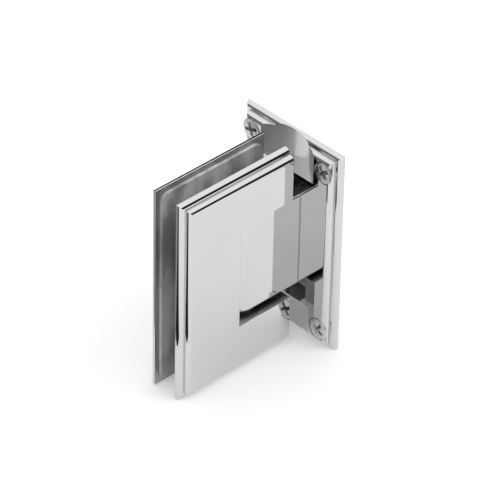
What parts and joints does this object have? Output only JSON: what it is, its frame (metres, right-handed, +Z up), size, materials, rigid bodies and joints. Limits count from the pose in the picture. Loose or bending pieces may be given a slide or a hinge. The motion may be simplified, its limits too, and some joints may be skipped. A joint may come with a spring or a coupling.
{
  "type": "hinge",
  "caption": "Polished glass door hinge: a moulded wall plate with a fixed pivot block, and two moulded clamp plates that grip the glass and swing both ways on a vertical pin.",
  "frame": {"origin": "centre of the wall plate's back face", "axes": "+X out of the wall, +Y across the wall, +Z up along the hinge pin"},
  "size_m": [0.0706, 0.051, 0.09],
  "materials": {
    "chrome": "polished chrome plate",
    "steel": "turned steel",
    "gasket": "smooth dark grey",
    "bush": "moulded black"
  },
  "bodies": {
    "wall_mount": {"wall_plate": "chrome", "wall_screw_1": "chrome", "wall_screw_2": "chrome", "wall_screw_3": "chrome", "wall_screw_4": "chrome", "pivot_block": "chrome", "block_screw_top": "steel", "block_screw_bottom": "steel", "upper_bush": "bush", "lower_bush": "bush", "upper_plunger": "steel", "lower_plunger": "steel", "upper_spring": "steel", "lower_spring": "steel"},
    "door_clamp": {"hinge_pin": "steel", "front_clamp_plate": "chrome", "rear_clamp_plate": "chrome", "front_gasket": "gasket", "rear_gasket": "gasket", "clamp_screw_top": "steel", "clamp_screw_bottom": "steel"}
  },
  "joints": [
    {"name": "door_swing", "type": "hinge", "parent": "wall_mount", "child": "door_clamp", "pos_m": [0.0295, 0, 0], "axis": [0, 0, 1], "range_deg": [-90, 90]}
  ]
}
